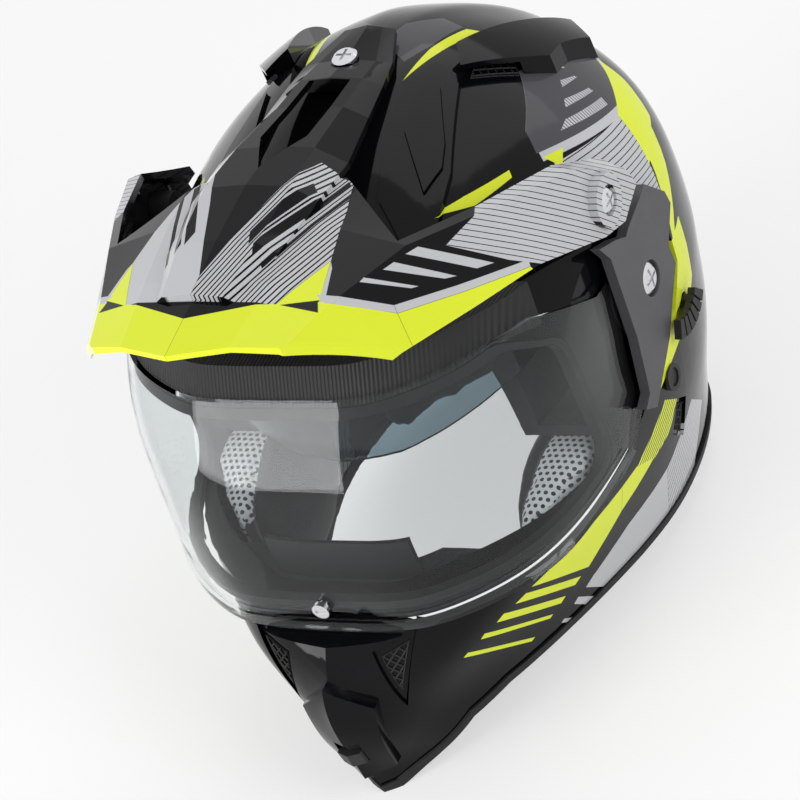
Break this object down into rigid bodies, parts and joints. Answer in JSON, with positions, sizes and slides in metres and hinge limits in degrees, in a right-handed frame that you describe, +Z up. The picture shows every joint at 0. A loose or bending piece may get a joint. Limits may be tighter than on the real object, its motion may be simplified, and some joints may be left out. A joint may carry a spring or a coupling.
{
  "type": "dual sport helmet",
  "caption": "Full-face helmet with a bolted peak, hinged clear visor, drop-down sun visor moved by a side lever, padded lining and a sliding chin vent.",
  "frame": {"origin": "middle of the head opening, on the plane that the lower rim rests on, under the visor's pivot axis", "axes": "+Z up through the crown, +Y towards the nape, -Y forward through the chin bar, +X towards the wearer's left"},
  "size_m": [0.2496, 0.3459, 0.2858],
  "materials": {
    "shell": "high gloss lacquer over a moulded shell",
    "trim": "matte moulded rubber",
    "visor": "clear moulded polycarbonate",
    "plate": "satin moulded nylon",
    "peak": "gloss lacquer over moulded plastic",
    "screw": "bright plated steel",
    "foam": "moulded bead foam, painted dark",
    "tint": "tinted moulded polycarbonate",
    "cloth": "knitted lining over soft foam"
  },
  "bodies": {
    "helmet": {"outer_shell": "shell", "rim_trim": "trim", "visor_baseplate_left": "plate", "visor_baseplate_right": "plate", "side_plate_left": "plate", "side_plate_right": "plate", "visor_screw_left": "screw", "visor_screw_right": "screw", "peak_spacer_left": "plate", "peak_spacer_right": "plate", "peak_screw_left": "screw", "peak_screw_right": "screw", "sun_visor_pin_left": "plate", "sun_visor_pin_right": "plate", "head_foam": "foam", "chin_foam": "foam", "port_gasket": "trim", "brow_trim": "trim", "cheek_pad_left": "cloth", "cheek_pad_right": "cloth", "crown_pad": "cloth", "neck_roll": "cloth", "top_vent_left": "shell", "top_vent_right": "shell", "side_button_left": "plate", "side_button_right": "plate", "chin_vent_cover": "shell", "breath_guard": "trim"},
    "visor_unit": {"visor": "visor", "visor_latch_pin": "screw"},
    "peak_unit": {"peak": "peak", "peak_crown_screw": "screw"},
    "sun_visor_unit": {"sun_visor": "tint"},
    "lever_unit": {"sun_visor_lever": "plate"},
    "chin_slider_unit": {"chin_vent_slider": "plate"}
  },
  "joints": [
    {"name": "visor_hinge", "type": "hinge", "parent": "helmet", "child": "visor_unit", "pos_m": [0, 0, 0.15], "axis": [-1, 0, 0], "range_deg": [0, 16.5]},
    {"name": "peak_tilt", "type": "hinge", "parent": "helmet", "child": "peak_unit", "pos_m": [0, -0.009, 0.206], "axis": [-1, 0, 0], "range_deg": [-3, 0]},
    {"name": "sun_visor_hinge", "type": "hinge", "parent": "helmet", "child": "sun_visor_unit", "pos_m": [0, 0.012, 0.136], "axis": [-1, 0, 0], "range_deg": [0, 40]},
    {"name": "lever_hinge", "type": "hinge", "parent": "helmet", "child": "lever_unit", "pos_m": [0, 0.012, 0.136], "axis": [-1, 0, 0], "range_deg": [0, 24]},
    {"name": "chin_vent_slide", "type": "slide", "parent": "helmet", "child": "chin_slider_unit", "axis": [0, 0, 1], "range_m": [0, 0.005]}
  ],
  "couplings": [
    {"joint": "lever_hinge", "follows": "sun_visor_hinge", "ratio": 0.6}
  ]
}
